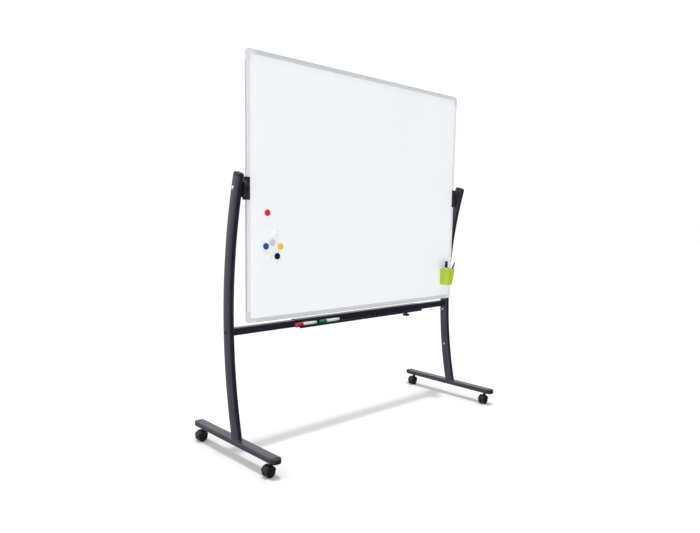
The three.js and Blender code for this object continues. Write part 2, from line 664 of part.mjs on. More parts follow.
/** Lobed hand knob, its neck and its stem, which ends just under the crossbar. */
function knobGeometry() {
  const { radius, height, lobes, lobeDepth, stemRadius, neckRadius, neckHeight, topZ } = KNOB;
  const count = 6 * lobes;
  const rim = Array.from({ length: count }, (_, i) => {
    const angle = (2 * Math.PI * i) / count;
    const r = radius - lobeDepth * (1 - Math.cos(lobes * angle));
    return new THREE.Vector2(r * Math.cos(angle), r * Math.sin(angle));
  });
  const stemTop = CROSSBAR.z - CROSSBAR.size / 2 - GAP;
  const rootZ = topZ - 1; // neck and stem start just inside the grip
  const upright = (r, top, segments) =>
    cylinder(r, top - rootZ, 'z', segments).translate(0, 0, (top + rootZ) / 2);
  return combine([
    prism(rim, height, 'z').translate(0, 0, topZ - height / 2),
    upright(neckRadius, topZ + neckHeight, 16),
    upright(stemRadius, stemTop, 16),
  ]);
}

add('tray_knob', knobGeometry(), blackPlastic).position.set(TRAY.clampX, crossbarY, 0);

for (const [name, material, x] of [
  ['red_marker', redPlastic, MARKER.redX],
  ['green_marker', markerGreen, MARKER.greenX],
]) {
  add(name, lathe(MARKER.profile, 18).rotateZ(-Math.PI / 2), material)
    .position.set(x, MARKER.y, shelfTopZ + GAP + MARKER.radius);
}

export default whiteboard;
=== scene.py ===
"""Looks of the rolling whiteboard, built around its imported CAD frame.

Metres, +X along the board, +Y to the rear, +Z up. Pieces take their places from the CAD nodes'
boxes and from the joints. The writing side with the pen cup faces -Y.
"""
import json
from math import asin, cos, pi, radians, sin

import bmesh
import bpy
from mathutils import Matrix, Vector


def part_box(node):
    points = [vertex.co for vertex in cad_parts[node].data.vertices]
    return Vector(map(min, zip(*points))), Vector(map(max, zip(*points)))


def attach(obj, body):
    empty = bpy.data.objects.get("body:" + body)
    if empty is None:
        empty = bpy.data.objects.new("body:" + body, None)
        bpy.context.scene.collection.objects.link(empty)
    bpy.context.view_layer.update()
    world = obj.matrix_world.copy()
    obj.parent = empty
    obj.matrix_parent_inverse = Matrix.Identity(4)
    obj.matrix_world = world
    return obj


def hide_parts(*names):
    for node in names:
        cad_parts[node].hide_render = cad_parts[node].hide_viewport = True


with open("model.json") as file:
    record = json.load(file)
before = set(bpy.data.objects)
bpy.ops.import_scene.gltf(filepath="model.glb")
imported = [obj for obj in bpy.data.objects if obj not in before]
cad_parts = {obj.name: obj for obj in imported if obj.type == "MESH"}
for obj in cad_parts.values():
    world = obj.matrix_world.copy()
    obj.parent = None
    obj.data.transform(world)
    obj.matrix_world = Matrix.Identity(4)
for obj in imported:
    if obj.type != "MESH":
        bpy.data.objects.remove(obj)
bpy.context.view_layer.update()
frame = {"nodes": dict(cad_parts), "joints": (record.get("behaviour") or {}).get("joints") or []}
MM = 0.001
SIDES = (("left", -1), ("right", 1))
ENDS = (("front", -1), ("rear", 1))
JOINTS = {joint["name"]: joint for joint in frame["joints"]}
PIVOT = Vector(JOINTS["board_flip"]["pos_m"])


# ------------------------------------------------------------------ shader nodes

def new_material(name):
    material = bpy.data.materials.new(name)
    material.use_nodes = True
    nodes, links = material.node_tree.nodes, material.node_tree.links
    return material, nodes, links, nodes["Principled BSDF"]


def map_range(nodes, links, value, source, target, interpolation="LINEAR"):
    """Takes a value from one range to another and holds it at both ends."""
    node = nodes.new("ShaderNodeMapRange")
    node.interpolation_type = interpolation
    for name, number in zip(("From Min", "From Max", "To Min", "To Max"), (*source, *target)):
        node.inputs[name].default_value = number
    links.new(value, node.inputs["Value"])
    return node.outputs["Result"]


def combine(nodes, links, operation, first, second):
    """One value from two, by a math operation."""
    node = nodes.new("ShaderNodeMath")
    node.operation = operation
    links.new(first, node.inputs[0])
    links.new(second, node.inputs[1])
    return node.outputs["Value"]


def noise(nodes, links, scale, stretch, detail):
    """A noise texture over the piece's own coordinates, its cells stretched by 1/stretch."""
    place = nodes.new("ShaderNodeTexCoord")
    mapping = nodes.new("ShaderNodeMapping")
    mapping.inputs["Scale"].default_value = stretch
    texture = nodes.new("ShaderNodeTexNoise")
    texture.inputs["Scale"].default_value = scale
    texture.inputs["Detail"].default_value = detail
    links.new(place.outputs["Object"], mapping.inputs["Vector"])
    links.new(mapping.outputs["Vector"], texture.inputs["Vector"])
    return texture.outputs["Fac"]


# ------------------------------------------------------------------ camera, floor and lights

def make_camera():
    """Eye level in front of the left end, looking along the board and slightly down."""
    yaw, pitch, roll = 0.7592, 0.1167, -0.017
    forward = Vector((sin(yaw) * cos(pitch), cos(yaw) * cos(pitch), -sin(pitch)))
    level = Vector((cos(yaw), -sin(yaw), 0))
    down = forward.cross(level)
    right = level * cos(roll) + down * sin(roll)
    up = level * sin(roll) - down * cos(roll)
    data = bpy.data.cameras.new("camera")
    data.sensor_width = 36
    data.lens = 31.25
    data.shift_y = 0.0295
    data.clip_start = 0.05
    camera = bpy.data.objects.new("camera", data)
    bpy.context.scene.collection.objects.link(camera)
    camera.matrix_world = Matrix((right, up, -forward)).transposed().to_4x4()
    camera.location = (-2.2664, -2.3058, 1.1112)
    bpy.context.scene.camera = camera


def make_floor():
    """A matt white floor, far larger than the view, that isn't seen in reflections."""
    mesh = bpy.data.meshes.new("floor")
    half = 30
    mesh.from_pydata([(-half, -half, 0), (half, -half, 0), (half, half, 0), (-half, half, 0)], [],
                     [(0, 1, 2, 3)])
    floor = bpy.data.objects.new("floor", mesh)
    bpy.context.scene.collection.objects.link(floor)
    material, nodes, links, shader = new_material("floor_paper")
    shader.inputs["Base Color"].default_value = (0.74, 0.74, 0.74, 1)
    shader.inputs["Roughness"].default_value = 1.0
    shader.inputs["Specular IOR Level"].default_value = 0.0
    mesh.materials.append(material)
    floor.visible_glossy = False


def make_world():
    """A studio that is plain white to the camera. To everything else it is dim in front, so that
    the dark tubes keep their shading, and dimmer below the horizon than above it."""
    world = bpy.data.worlds.new("studio")
    bpy.context.scene.world = world
    world.use_nodes = True
    nodes, links = world.node_tree.nodes, world.node_tree.links
    direction = nodes.new("ShaderNodeTexCoord").outputs["Generated"]
    towards_front = nodes.new("ShaderNodeVectorMath")
    towards_front.operation = "DOT_PRODUCT"
    towards_front.inputs[1].default_value = Vector((0.45, -0.89, 0)).normalized()
    links.new(direction, towards_front.inputs[0])
    fall = map_range(nodes, links, towards_front.outputs["Value"], (0.30, 0.75), (1.1, 0.08),
                     "SMOOTHSTEP")
    height = nodes.new("ShaderNodeSeparateXYZ")
    links.new(direction, height.inputs["Vector"])
    rise = map_range(nodes, links, height.outputs["Z"], (-0.35, 0.05), (0.45, 1))
    lit = combine(nodes, links, "MULTIPLY", fall, rise)
    seen = nodes.new("ShaderNodeLightPath").outputs["Is Camera Ray"]
    background = nodes["Background"]
    background.inputs["Color"].default_value = (1, 1, 1, 1)
    links.new(combine(nodes, links, "MAXIMUM", seen, lit), background.inputs["Strength"])


def make_lights():
    """A key overhead that casts the shadows, and two fills that cast none."""
    make_sun("overhead", 1.5, 4.2, (0, 0.075, -1))
    fills = (("front_fill", 0.82, (0.25, 1, -0.1)), ("top_fill", 0.3, (0, 0, -1)))
    for name, energy, direction in fills:
        fill = make_sun(name, energy, 40, direction)
        fill.data.use_shadow = False
        fill.visible_glossy = False
    bpy.context.scene.view_settings.view_transform = "Standard"


def make_sun(name, energy, degrees, direction):
    """A sun lamp of an apparent size in degrees that shines along a direction."""
    data = bpy.data.lights.new(name, "SUN")
    data.energy = energy
    data.angle = radians(degrees)
    light = bpy.data.objects.new(name, data)
    bpy.context.scene.collection.objects.link(light)
    light.rotation_euler = Vector(direction).to_track_quat("-Z", "Y").to_euler()
    return light


# ------------------------------------------------------------------ materials

def finish(name, dark, light, roughness, metallic=0.0, patch=18, grain=1400, relief=0.15,
           depth=0.00006, stretch=(1, 1, 1), coat=0.0, specular=0.5, tint=(1, 1, 1)):
    """A surface whose colour drifts between two tones, with uneven gloss and a fine relief.
    Patch and grain are the scales of the drift and the relief, and depth is in metres."""
    material, nodes, links, shader = new_material(name)
    shader.inputs["Metallic"].default_value = metallic
    shader.inputs["Coat Weight"].default_value = coat
    shader.inputs["Coat Roughness"].default_value = 0.05
    shader.inputs["Specular IOR Level"].default_value = specular
    shader.inputs["Specular Tint"].default_value = (*tint, 1)

    tone = nodes.new("ShaderNodeValToRGB")
    for element, position, colour in zip(tone.color_ramp.elements, (0.35, 0.65), (dark, light)):
        element.position = position
        element.color = (*colour, 1)
    links.new(noise(nodes, links, patch, stretch, 5), tone.inputs["Fac"])
    links.new(tone.outputs["Color"], shader.inputs["Base Color"])

    smears = noise(nodes, links, patch * 2.3, stretch, 4)
    links.new(map_range(nodes, links, smears, (0.3, 0.7), roughness), shader.inputs["Roughness"])

    bump = nodes.new("ShaderNodeBump")
    bump.inputs["Strength"].default_value = relief
    bump.inputs["Distance"].default_value = depth
    links.new(noise(nodes, links, grain, stretch, 2), bump.inputs["Height"])
    links.new(bump.outputs["Normal"], shader.inputs["Normal"])
    return material


def make_materials():
    lines_x, lines_z = (0.02, 1, 1), (1, 1, 0.02)
    drawn = dict(roughness=(0.26, 0.36), metallic=0.2, patch=60, grain=900, relief=0.25)
    moulded = dict(roughness=(0.42, 0.55), grain=2600, relief=0.35, specular=0.35)
    glossy = dict(roughness=(0.2, 0.3))
    paint = {
        "powder": finish("powder_coat", (0.011, 0.010, 0.019), (0.015, 0.013, 0.025), (0.32, 0.40),
                         grain=2200, relief=0.45, depth=0.00012, specular=0.9, tint=(0.85, 0.84, 1.0)),
        "black": finish("black_plastic", (0.010, 0.010, 0.013), (0.015, 0.015, 0.019), **moulded),
        "clip": finish("clip_plastic", (0.022, 0.022, 0.028), (0.030, 0.030, 0.037), **moulded),
        "wheel": finish("wheel_plastic", (0.008, 0.008, 0.010), (0.020, 0.020, 0.022), (0.35, 0.60),
                        patch=90, grain=1800, relief=0.3),
        "steel": finish("steel", (0.78, 0.79, 0.81), (0.88, 0.89, 0.90), (0.24, 0.38), metallic=1.0,
                        patch=200, relief=0.2),
        "grey": finish("grey_plastic", (0.66, 0.67, 0.70), (0.72, 0.73, 0.76), (0.40, 0.52),
                       grain=2600, relief=0.3),
        "enamel": finish("enamel", (0.89, 0.905, 0.935), (0.91, 0.925, 0.95), (0.06, 0.16), patch=2.5,
                         grain=160, relief=0.04, depth=0.0001, coat=0.3),
        "core": finish("core_board", (0.36, 0.25, 0.14), (0.46, 0.33, 0.19), (0.7, 0.9), patch=220,
                       relief=0.6),
        "lime": finish("lime_plastic", (0.40, 0.54, 0.018), (0.46, 0.60, 0.032), (0.28, 0.36),
                       grain=1500, relief=0.12),
        "red": finish("red_plastic", (0.56, 0.018, 0.032), (0.64, 0.028, 0.042), (0.18, 0.28)),
        "green": finish("green_plastic", (0.004, 0.17, 0.09), (0.008, 0.21, 0.12), (0.18, 0.28)),
    }
    # The frame's faces and its rounded outer sides, drawn along X and along Z, as lit and shaded copies
    # of one aluminium: the rails along X carry painted shade, darker than the sides along Z, and the
    # rounded outer sides carry deeper painted shade.
    for key, name, dark, light, lines in (
            ("aluminium_painted_shade_x", "aluminium_painted_shade_x", (0.71, 0.72, 0.75), (0.77, 0.78, 0.81), lines_x),
            ("aluminium_z", "aluminium_z", (0.89, 0.90, 0.93), (0.94, 0.95, 0.97), lines_z),
            ("edge_painted_shade_x", "aluminium_edge_painted_shade_x", (0.33, 0.34, 0.37), (0.40, 0.41, 0.44), lines_x),
            ("edge_painted_shade_z", "aluminium_edge_painted_shade_z", (0.44, 0.45, 0.48), (0.52, 0.53, 0.56), lines_z)):
        paint[key] = finish(name, dark, light, stretch=lines, **drawn)
    for key, name, dark, light in (
            ("ink_black", "black_gloss", (0.006, 0.006, 0.008), (0.012, 0.012, 0.014)),
            ("white", "white_plastic", (0.86, 0.86, 0.87), (0.90, 0.90, 0.91)),
            ("blue", "blue_plastic", (0.020, 0.020, 0.18), (0.030, 0.030, 0.25)),
            ("azure", "azure_plastic", (0.008, 0.055, 0.36), (0.012, 0.070, 0.44)),
            ("yellow", "yellow_plastic", (0.84, 0.50, 0.035), (0.90, 0.57, 0.050)),
            ("silver", "silver_plastic", (0.52, 0.54, 0.57), (0.60, 0.62, 0.65))):
        paint[key] = finish(name, dark, light, **glossy)
    return paint


# ------------------------------------------------------------------ mesh helpers

def arc(cx, cy, radius, start, stop, steps):
    """Points on a circle between two angles in degrees."""
    angles = [radians(start + (stop - start) * i / steps) for i in range(steps + 1)]
    return [(cx + radius * cos(a), cy + radius * sin(a)) for a in angles]


def rounded(width, height, radii, steps=6):
    """Rounded rectangle about the origin; radii run anticlockwise from the (+, +) corner."""
    radii = radii if isinstance(radii, (list, tuple)) else [radii] * 4
    points = []
    for quarter, (sx, sy) in enumerate(((1, 1), (-1, 1), (-1, -1), (1, -1))):
        r = radii[quarter]
        points += arc(sx * (width / 2 - r), sy * (height / 2 - r), r, quarter * 90,
                      quarter * 90 + 90, steps)
    return points


def oval(half_width, half_depth, exponent, count=48):
    """Oval whose sides are flatter than an ellipse's for an exponent above 2."""
    def bend(value):
        return (1 if value >= 0 else -1) * abs(value) ** (2 / exponent)
    angles = [2 * pi * i / count for i in range(count)]
    return [(half_width * bend(cos(a)), half_depth * bend(sin(a))) for a in angles]


def add_piece(name, bm, body, material, replaces=(), bevel=0.0, steps=3, sharp=35):
    """Turns a bmesh into a piece that rides on a body, smooth apart from its sharp edges."""
    bmesh.ops.remove_doubles(bm, verts=bm.verts, dist=1e-7)
    bmesh.ops.recalc_face_normals(bm, faces=bm.faces)
    mesh = bpy.data.meshes.new(name)
    bm.to_mesh(mesh)
    bm.free()
    mesh.shade_smooth()
    if not bevel:
        mesh.set_sharp_from_angle(angle=radians(sharp))
    mesh.materials.append(material)
    piece = bpy.data.objects.new(name, mesh)
    bpy.context.scene.collection.objects.link(piece)
    if bevel:
        soften(piece, bevel, steps)
    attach(piece, body)
    if replaces:
        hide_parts(*replaces)
    return piece


def dress(node, material):
    """Gives a CAD node its own finish."""
    node.data.materials.clear()
    node.data.materials.append(material)


def soften(piece, width, steps=3):
    """Rounds a piece's hard edges."""
    modifier = piece.modifiers.new("bevel", "BEVEL")
    modifier.width = width
    modifier.segments = steps
    modifier.limit_method = "ANGLE"
    modifier.angle_limit = radians(40)
    modifier.harden_normals = True
    modifier.use_clamp_overlap = True


def loft(bm, rings):
    """Adds a closed solid through rings of equal count to a bmesh."""
    rows = [[bm.verts.new(p) for p in ring] for ring in rings]
    count = len(rows[0])
    for a, b in zip(rows, rows[1:]):
        for j in range(count):
            k = (j + 1) % count
            bm.faces.new((a[j], a[k], b[k], b[j]))
    bm.faces.new(rows[0][::-1])
    bm.faces.new(rows[-1])
    return bm


def lofted(rings):
    return loft(bmesh.new(), rings)


PLACE = {
    "x": lambda u, v, w: Vector((w, u, v)),
    "y": lambda u, v, w: Vector((u, w, v)),
    "z": lambda u, v, w: Vector((u, v, w)),
}


def extruded(outline, axis, low, high, holes=()):
    """Closed solid of an outline, with holes, between two places on an axis."""
    bm = bmesh.new()
    ends = {low: [], high: []}
    for loop in (outline, *holes):
        rows = {w: [bm.verts.new(PLACE[axis](u, v, w)) for u, v in loop] for w in (low, high)}
        for j in range(len(loop)):
            k = (j + 1) % len(loop)
            bm.faces.new((rows[low][j], rows[low][k], rows[high][k], rows[high][j]))
        for w, row in rows.items():
            ends[w].append(row)
    for loops in ends.values():
        if len(loops) == 1:
            bm.faces.new(loops[0])
        else:
            edges = [bm.edges.get((row[j], row[(j + 1) % len(row)])) for row in loops
                     for j in range(len(row))]
            bmesh.ops.triangle_fill(bm, use_beauty=True, use_dissolve=False, edges=edges)
    return bm


def turned(profile, segments, place):
    """Solid of revolution about Z from (radius, height) pairs. A profile that leaves the axis
    and comes back to it is closed, and any other is joined from its last point to its first."""
    bm = bmesh.new()
    on_axis = profile[0][0] == 0 and profile[-1][0] == 0
    rows = []
    for radius, height in profile:
        if radius == 0:
            rows.append([bm.verts.new(place @ Vector((0, 0, height)))] * segments)
            continue
        rows.append([bm.verts.new(place @ Vector((radius * cos(a), radius * sin(a), height)))
                     for a in (2 * pi * i / segments for i in range(segments))])
    pairs = list(zip(rows, rows[1:])) + ([] if on_axis else [(rows[-1], rows[0])])
    for a, b in pairs:
        for j in range(segments):
            k = (j + 1) % segments
            bm.faces.new(dict.fromkeys((a[j], a[k], b[k], b[j])))
    return bm


def round_edge(radius, height, r):
    """Profile points round a top outer edge, from the rim's side up to its top."""
    steps = 4
    return [(radius - r + r * cos(a), height - r + r * sin(a))
            for a in (pi / 2 * i / steps for i in range(steps + 1))]


def disc_profile(radius, low, high, r):
    """A plain disc with both rims rounded, from the axis out and back."""
    top = round_edge(radius, high, r)
    bottom = [(p, low + high - h) for p, h in reversed(top)]
    return [(0, low)] + bottom + top + [(0, high)]


def axis_frame(origin, direction):
    """Matrix that takes Z to a direction, with its origin at a point."""
    turn = Vector(direction).to_track_quat("Z", "Y").to_matrix().to_4x4()
    return Matrix.Translation(origin) @ turn


def centre_of(node):
    low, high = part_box(node)
    return (low + high) / 2


# ------------------------------------------------------------------ uprights

BOW = {"radius": 2.410, "rear_y": 0.0455, "rear_z": 0.640, "top_z": 1.278}
TUBE = {"half_width": 18 * MM, "half_depth": 27.5 * MM, "exponent": 3}


def tube_section(grow=0.0):
    """The upright's oval outline, let out all round by a distance."""
    return oval(TUBE["half_width"] + grow, TUBE["half_depth"] + grow, TUBE["exponent"])


def bow_angle(z):
    return asin((z - BOW["rear_z"]) / BOW["radius"])


def bow_ring(x, angle, section, distance=0.0):
    """A section placed square to the bowed centre line, at a distance beyond a station."""
    outward = Vector((0, cos(angle), sin(angle)))
    along = Vector((0, -sin(angle), cos(angle)))
    centre = Vector((x, BOW["rear_y"] - BOW["radius"], BOW["rear_z"]))
    centre += outward * BOW["radius"] + along * distance
    return [centre + Vector((u, 0, 0)) + outward * v for u, v in section]


def cut_level(ring, angle, z):
    """Slides a ring's points along the tube to a level plane."""
    along = Vector((0, -sin(angle), cos(angle)))
    return [p + along * ((z - p.z) / along.z) for p in ring]


def make_upright(side, paint):
    low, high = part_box(f"{side}_upright")
    x = (low.x + high.x) / 2
    first_station, stations = 4 * MM, 56
    start, stop = bow_angle(low.z + first_station), bow_angle(BOW["top_z"])
    section = tube_section()
    rings = [cut_level(bow_ring(x, start, section), start, low.z)]
    rings += [bow_ring(x, start + (stop - start) * i / stations, section)
              for i in range(1, stations + 1)]
    add_piece(f"{side}_upright_tube", lofted(rings), "stand", paint["powder"],
              [f"{side}_upright"], bevel=0.5 * MM, steps=2)


def make_upright_cap(side, paint):
    x = centre_of(f"{side}_upright_cap").x
    angle = bow_angle(BOW["top_z"])
    gap, lip, groove, rim, dome = 0.3 * MM, 0.4 * MM, 0.5 * MM, 3 * MM, 10.6 * MM
    plug_inset, plug_depth, dome_base = 3.2 * MM, 15 * MM, rim + 0.5 * MM

    def ring(shrink, distance):
        return bow_ring(x, angle, tube_section(-shrink), distance)

    rings = [ring(plug_inset + 0.8 * MM, -plug_depth), ring(plug_inset, 1 * MM - plug_depth),
             ring(plug_inset, gap), ring(lip, gap), ring(0, gap + lip), ring(0, rim),
             ring(groove, rim + 0.2 * MM), ring(groove, dome_base)]
    for degrees in range(6, 85, 6):
        a = radians(degrees)
        rings.append(ring(groove + dome * (1 - cos(a)), dome_base + dome * sin(a)))
    add_piece(f"{side}_upright_dome", lofted(rings), "stand", paint["black"],
              [f"{side}_upright_cap"])


def socket_head(name, origin, direction, radius, height, recess, body, material, replaces=()):
    """A button-headed screw with a hexagon socket of a corner radius, seen from its head's side."""
    place = axis_frame(origin, direction)
    side_share = 0.35
    rim = recess * 1.16
    floor = height - 0.3 * MM
    dome = [(radius * cos(a), height * (side_share + (1 - side_share) * sin(a)))
            for a in (pi / 2 * i / 6 for i in range(6))]
    profile = [(0, 0), (radius, 0)] + [p for p in dome if p[0] > rim + 0.2 * MM]
    profile += [(rim, height), (rim, floor), (0, floor)]
    add_piece(name, turned(profile, 36, place), body, material, replaces)
    hexagon = [(recess * cos(pi / 3 * i), recess * sin(pi / 3 * i)) for i in range(6)]
    levels = ((1.0, 0.25 * MM), (1.0, 0.05 * MM), (0.86, 0.05 * MM), (0.8, 0.22 * MM))
    socket = lofted([[place @ Vector((u * scale, v * scale, height - down)) for u, v in hexagon]
                     for scale, down in levels])
    add_piece(f"{name}_socket", socket, body, material)


# ------------------------------------------------------------------ feet

FOOT_EDGE = 5 * MM


def make_foot(side, paint):
    low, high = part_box(f"{side}_foot")
    x, z = (low.x + high.x) / 2, (low.z + high.z) / 2
    outline = [(x + u, z + v) for u, v in rounded(high.x - low.x, high.z - low.z, FOOT_EDGE, 10)]
    add_piece(f"{side}_foot_tube", extruded(outline, "y", low.y, high.y), "stand",
              paint["powder"], [f"{side}_foot"], bevel=0.4 * MM, steps=2)
    make_base_weld(side, high.z, paint)


def make_base_weld(side, top, paint):
    """The bead where the upright meets the foot's top."""
    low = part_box(f"{side}_upright")[0]
    x = centre_of(f"{side}_upright").x
    angle = bow_angle(low.z)

    def ring(grow, z):
        return cut_level(bow_ring(x, angle, tube_section(grow)), angle, z)

    bead, inside = 2.6 * MM, -1 * MM
    rings = [ring(inside, top), ring(bead, top)]
    rings += [ring(bead * cos(radians(a)), top + bead * sin(radians(a))) for a in (20, 40, 60, 80)]
    rings.append(ring(inside, top + bead))
    add_piece(f"{side}_base_weld", lofted(rings), "stand", paint["powder"])


def make_foot_cap(side, end, sign, paint):
    """A plug in the foot tube's end with a nose that narrows in plan and drops a little in height."""
    node = f"{side}_foot_{end}_cap"
    low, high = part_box(node)
    tube_low, tube_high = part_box(f"{side}_foot")
    start = tube_high.y if sign > 0 else tube_low.y
    reach = (high.y if sign > 0 else low.y) - start
    x, z = (low.x + high.x) / 2, (low.z + high.z) / 2
    width, height, radius = high.x - low.x, high.z - low.z, FOOT_EDGE

    def ring(w, h, r, distance):
        points = rounded(w, h, min(r, 0.46 * h, 0.49 * w), 8)
        return [Vector((x + u, start + sign * distance, z + v)) for u, v in points]

    gap, lip, shoulder, plug_inset, plug_depth = 0.3 * MM, 0.4 * MM, 4 * MM, 3 * MM, 15 * MM
    plug = (width - 2 * plug_inset, height - 2 * plug_inset, radius)
    rings = [ring(*plug, -plug_depth), ring(*plug, gap),
             ring(width - 2 * lip, height - 2 * lip, radius, gap), ring(width, height, radius, gap + lip)]
    nose, tip_height = abs(reach) - shoulder, 0.62
    for degrees in range(0, 87, 6):
        a = radians(degrees)
        rings.append(ring(width * cos(a), height * (tip_height + (1 - tip_height) * cos(a)), radius,
                          shoulder + nose * sin(a)))
    add_piece(f"{side}_{end}_foot_nose", lofted(rings), "stand", paint["black"],
              [node])


# ------------------------------------------------------------------ crossbar, tray and knob

def make_crossbar(paint):
    low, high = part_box("crossbar")
    y, z = (low.y + high.y) / 2, (low.z + high.z) / 2
    outline = [(y + u, z + v) for u, v in rounded(high.y - low.y, high.z - low.z, 3 * MM, 6)]
    into_upright = 1 * MM
    ends = [sign * (centre_of(f"{side}_upright").x * sign - TUBE["half_width"] + into_upright)
            for side, sign in SIDES]
    add_piece("crossbar_tube", extruded(outline, "x", ends[0], ends[1]), "stand", paint["powder"],
              ["crossbar"])


def make_tray(paint):
    """A sleeve round the crossbar with a raised shelf, a lip and a skirt in front, in one profile."""
    low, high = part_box("marker_tray")
    bar_low, bar_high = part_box("crossbar")
    wall, clearance = 2.2 * MM, 0.5 * MM
    front = bar_low.y - clearance - wall
    shelf, fillet, edge = low.z + 8 * MM, 1.5 * MM, 2 * MM
    under, lip_top = shelf - wall, shelf + 2 * MM
    outline = [
        *arc(high.y - edge, low.z + edge, edge, -90, 0, 5),
        *arc(high.y - edge, high.z - edge, edge, 0, 90, 5),
        *arc(front + edge, high.z - edge, edge, 90, 180, 5),
        *arc(front - fillet, shelf + fillet, fillet, 0, -90, 4),
        *arc(low.y + wall + fillet, shelf + fillet, fillet, -90, -180, 4),
        *arc(low.y + wall / 2, lip_top, wall / 2, 0, 180, 8),
        *arc(low.y + wall / 2, low.z + wall / 2, wall / 2, 180, 360, 8),
        *arc(low.y + wall + fillet, under - fillet, fillet, 180, 90, 4),
        *arc(front - fillet, under - fillet, fillet, 90, 0, 4),
        (front, low.z),
    ]
    y, z = (bar_low.y + bar_high.y) / 2, (bar_low.z + bar_high.z) / 2
    hole = bar_high.y - bar_low.y + 2 * clearance
    passage = [(y + u, z + v) for u, v in rounded(hole, hole, 3 * MM, 6)]
    add_piece("tray_profile", extruded(outline, "x", low.x, high.x, [passage]), "tray",
              paint["powder"], ["marker_tray"])
    block = frame["nodes"]["tray_clamp_block"]
    dress(block, paint["powder"])
    soften(block, 0.6 * MM)


def make_knob(paint):
    low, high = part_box("tray_knob")
    centre = Vector(JOINTS["knob_turn"]["pos_m"])
    radius, lobes, bottom = (high.x - low.x) / 2, 8, low.z
    height, count, lobe_depth = 12 * MM, 96, 1.1 * MM

    def rim(scale, z):
        points = []
        for i in range(count):
            a = 2 * pi * i / count
            r = (radius - lobe_depth * (1 - cos(lobes * a))) * scale
            points.append(Vector((centre.x + r * cos(a), centre.y + r * sin(a), z)))
        return points

    edge = 2.4 * MM
    rings = [rim(0.55, bottom + 0.8 * MM), rim(0.6, bottom)]
    for degrees in range(0, 91, 15):
        a = radians(degrees)
        rings.append(rim(1 - edge / radius * (1 - sin(a)), bottom + edge * (1 - cos(a))))
    for degrees in range(0, 91, 15):
        a = radians(degrees)
        rings.append(rim(1 - edge / radius * (1 - cos(a)), bottom + height - edge * (1 - sin(a))))
    add_piece("knob_grip", lofted(rings), "knob", paint["black"], ["tray_knob"])
    place, top = Matrix.Translation((centre.x, centre.y, 0)), bottom + height
    neck = [(0, top - 1 * MM), (8 * MM, top - 1 * MM), (6.2 * MM, top + 1.4 * MM), (6 * MM, top + 4 * MM),
            (0, top + 4 * MM)]
    add_piece("knob_neck", turned(neck, 32, place), "knob", paint["black"])
    root, crest, pitch = 2.6 * MM, 3.0 * MM, 0.8 * MM
    z = top + 3 * MM
    thread = [(0, z)]
    while z < high.z - 1 * MM:
        thread += [(root, z), (crest, z + 0.25 * MM), (crest, z + 0.35 * MM), (root, z + 0.6 * MM)]
        z += pitch
    thread += [(root, high.z - 0.4 * MM), (2.2 * MM, high.z), (0, high.z)]
    add_piece("knob_stem", turned(thread, 24, place), "knob", paint["steel"])


# ------------------------------------------------------------------ casters

def make_caster(side, end, paint):
    body = f"{side}_{end}_caster"
    stem_x = centre_of(f"{body}_stem").x
    axle = Vector(JOINTS[f"{body}_spin_a"]["pos_m"])
    make_caster_housing(body, stem_x, axle, paint)
    for label, direction in (("a", -1), ("b", 1)):
        make_wheel(body, label, direction, axle, paint)
    low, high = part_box(f"{body}_axle")
    pin = turned(disc_profile(3.9 * MM, 0, high.y - low.y, 0.6 * MM), 28,
                 axis_frame((axle.x, low.y, axle.z), (0, 1, 0)))
    add_piece(f"{body}_pin", pin, body, paint["steel"], [f"{body}_axle"])
    low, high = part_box(f"{body}_stem")
    radius, collar_radius, edge = 5 * MM, 8.5 * MM, 0.4 * MM
    collar_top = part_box(f"{side}_foot")[0].z - 0.3 * MM
    collar_low = collar_top - 2.4 * MM
    stem = [(0, low.z), (4.4 * MM, low.z), (radius, low.z + 0.8 * MM), (radius, collar_low),
            (collar_radius - edge, collar_low), (collar_radius, collar_low + edge),
            (collar_radius, collar_top - edge), (collar_radius - edge, collar_top),
            (radius, collar_top), (radius, high.z), (0, high.z)]
    add_piece(f"{body}_stem_pin", turned(stem, 36, Matrix.Translation((stem_x, axle.y, 0))), "stand",
              paint["steel"], [f"{body}_stem"])


def make_caster_housing(body, stem_x, axle, paint):
    """Hood over both wheels, web between them and boss round the stem."""
    low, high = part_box(f"{body}_housing")
    half = (high.y - low.y) / 2
    inner, outer, lip = 26.4 * MM, 29 * MM, 2.2 * MM
    start, stop, steps = 12, 168, 30
    end_share, end_sweep = 0.55, 14
    rings = []
    for i in range(steps + 1):
        degrees = start + (stop - start) * i / steps
        a = radians(degrees)
        from_end = min(degrees - start, stop - degrees)
        fade = min(1.0, from_end / end_sweep + end_share)
        r_out = inner + (outer - inner) * fade
        section = [(-half, inner), (-half, r_out - lip)]
        section += [(-half + lip - lip * cos(radians(t)), r_out - lip + lip * sin(radians(t)))
                    for t in (22.5, 45, 67.5, 90)]
        section += [(-y, r) for y, r in reversed(section)]
        rings.append([Vector((axle.x + r * cos(a), axle.y + y, axle.z + r * sin(a)))
                      for y, r in section])
    add_piece(f"{body}_hood", lofted(rings), body, paint["black"],
              [f"{body}_housing"])

    web_outline = [(axle.x + u, axle.z + v) for u, v in
                   arc(0, 0, inner + 0.5 * MM, 30, 150, 20) + arc(0, 0, 12 * MM, 180, 360, 16)]
    web_half = 4 * MM
    web = extruded(web_outline, "y", axle.y - web_half, axle.y + web_half)
    add_piece(f"{body}_web", web, body, paint["black"], bevel=0.5 * MM, steps=2)

    top, base, radius, bore = high.z, axle.z + 20 * MM, 8.5 * MM, 5.3 * MM
    boss = turned([(0, base), (radius, base), (radius, top - 1.6 * MM), (8.1 * MM, top - 0.5 * MM),
                   (7.2 * MM, top), (bore + 0.3 * MM, top), (bore, top - 0.4 * MM),
                   (bore, top - 2 * MM), (0, top - 2 * MM)], 40,
                  Matrix.Translation((stem_x, axle.y, 0)))
    cut_below_hood(boss, axle, inner)
    add_piece(f"{body}_boss", boss, body, paint["black"])


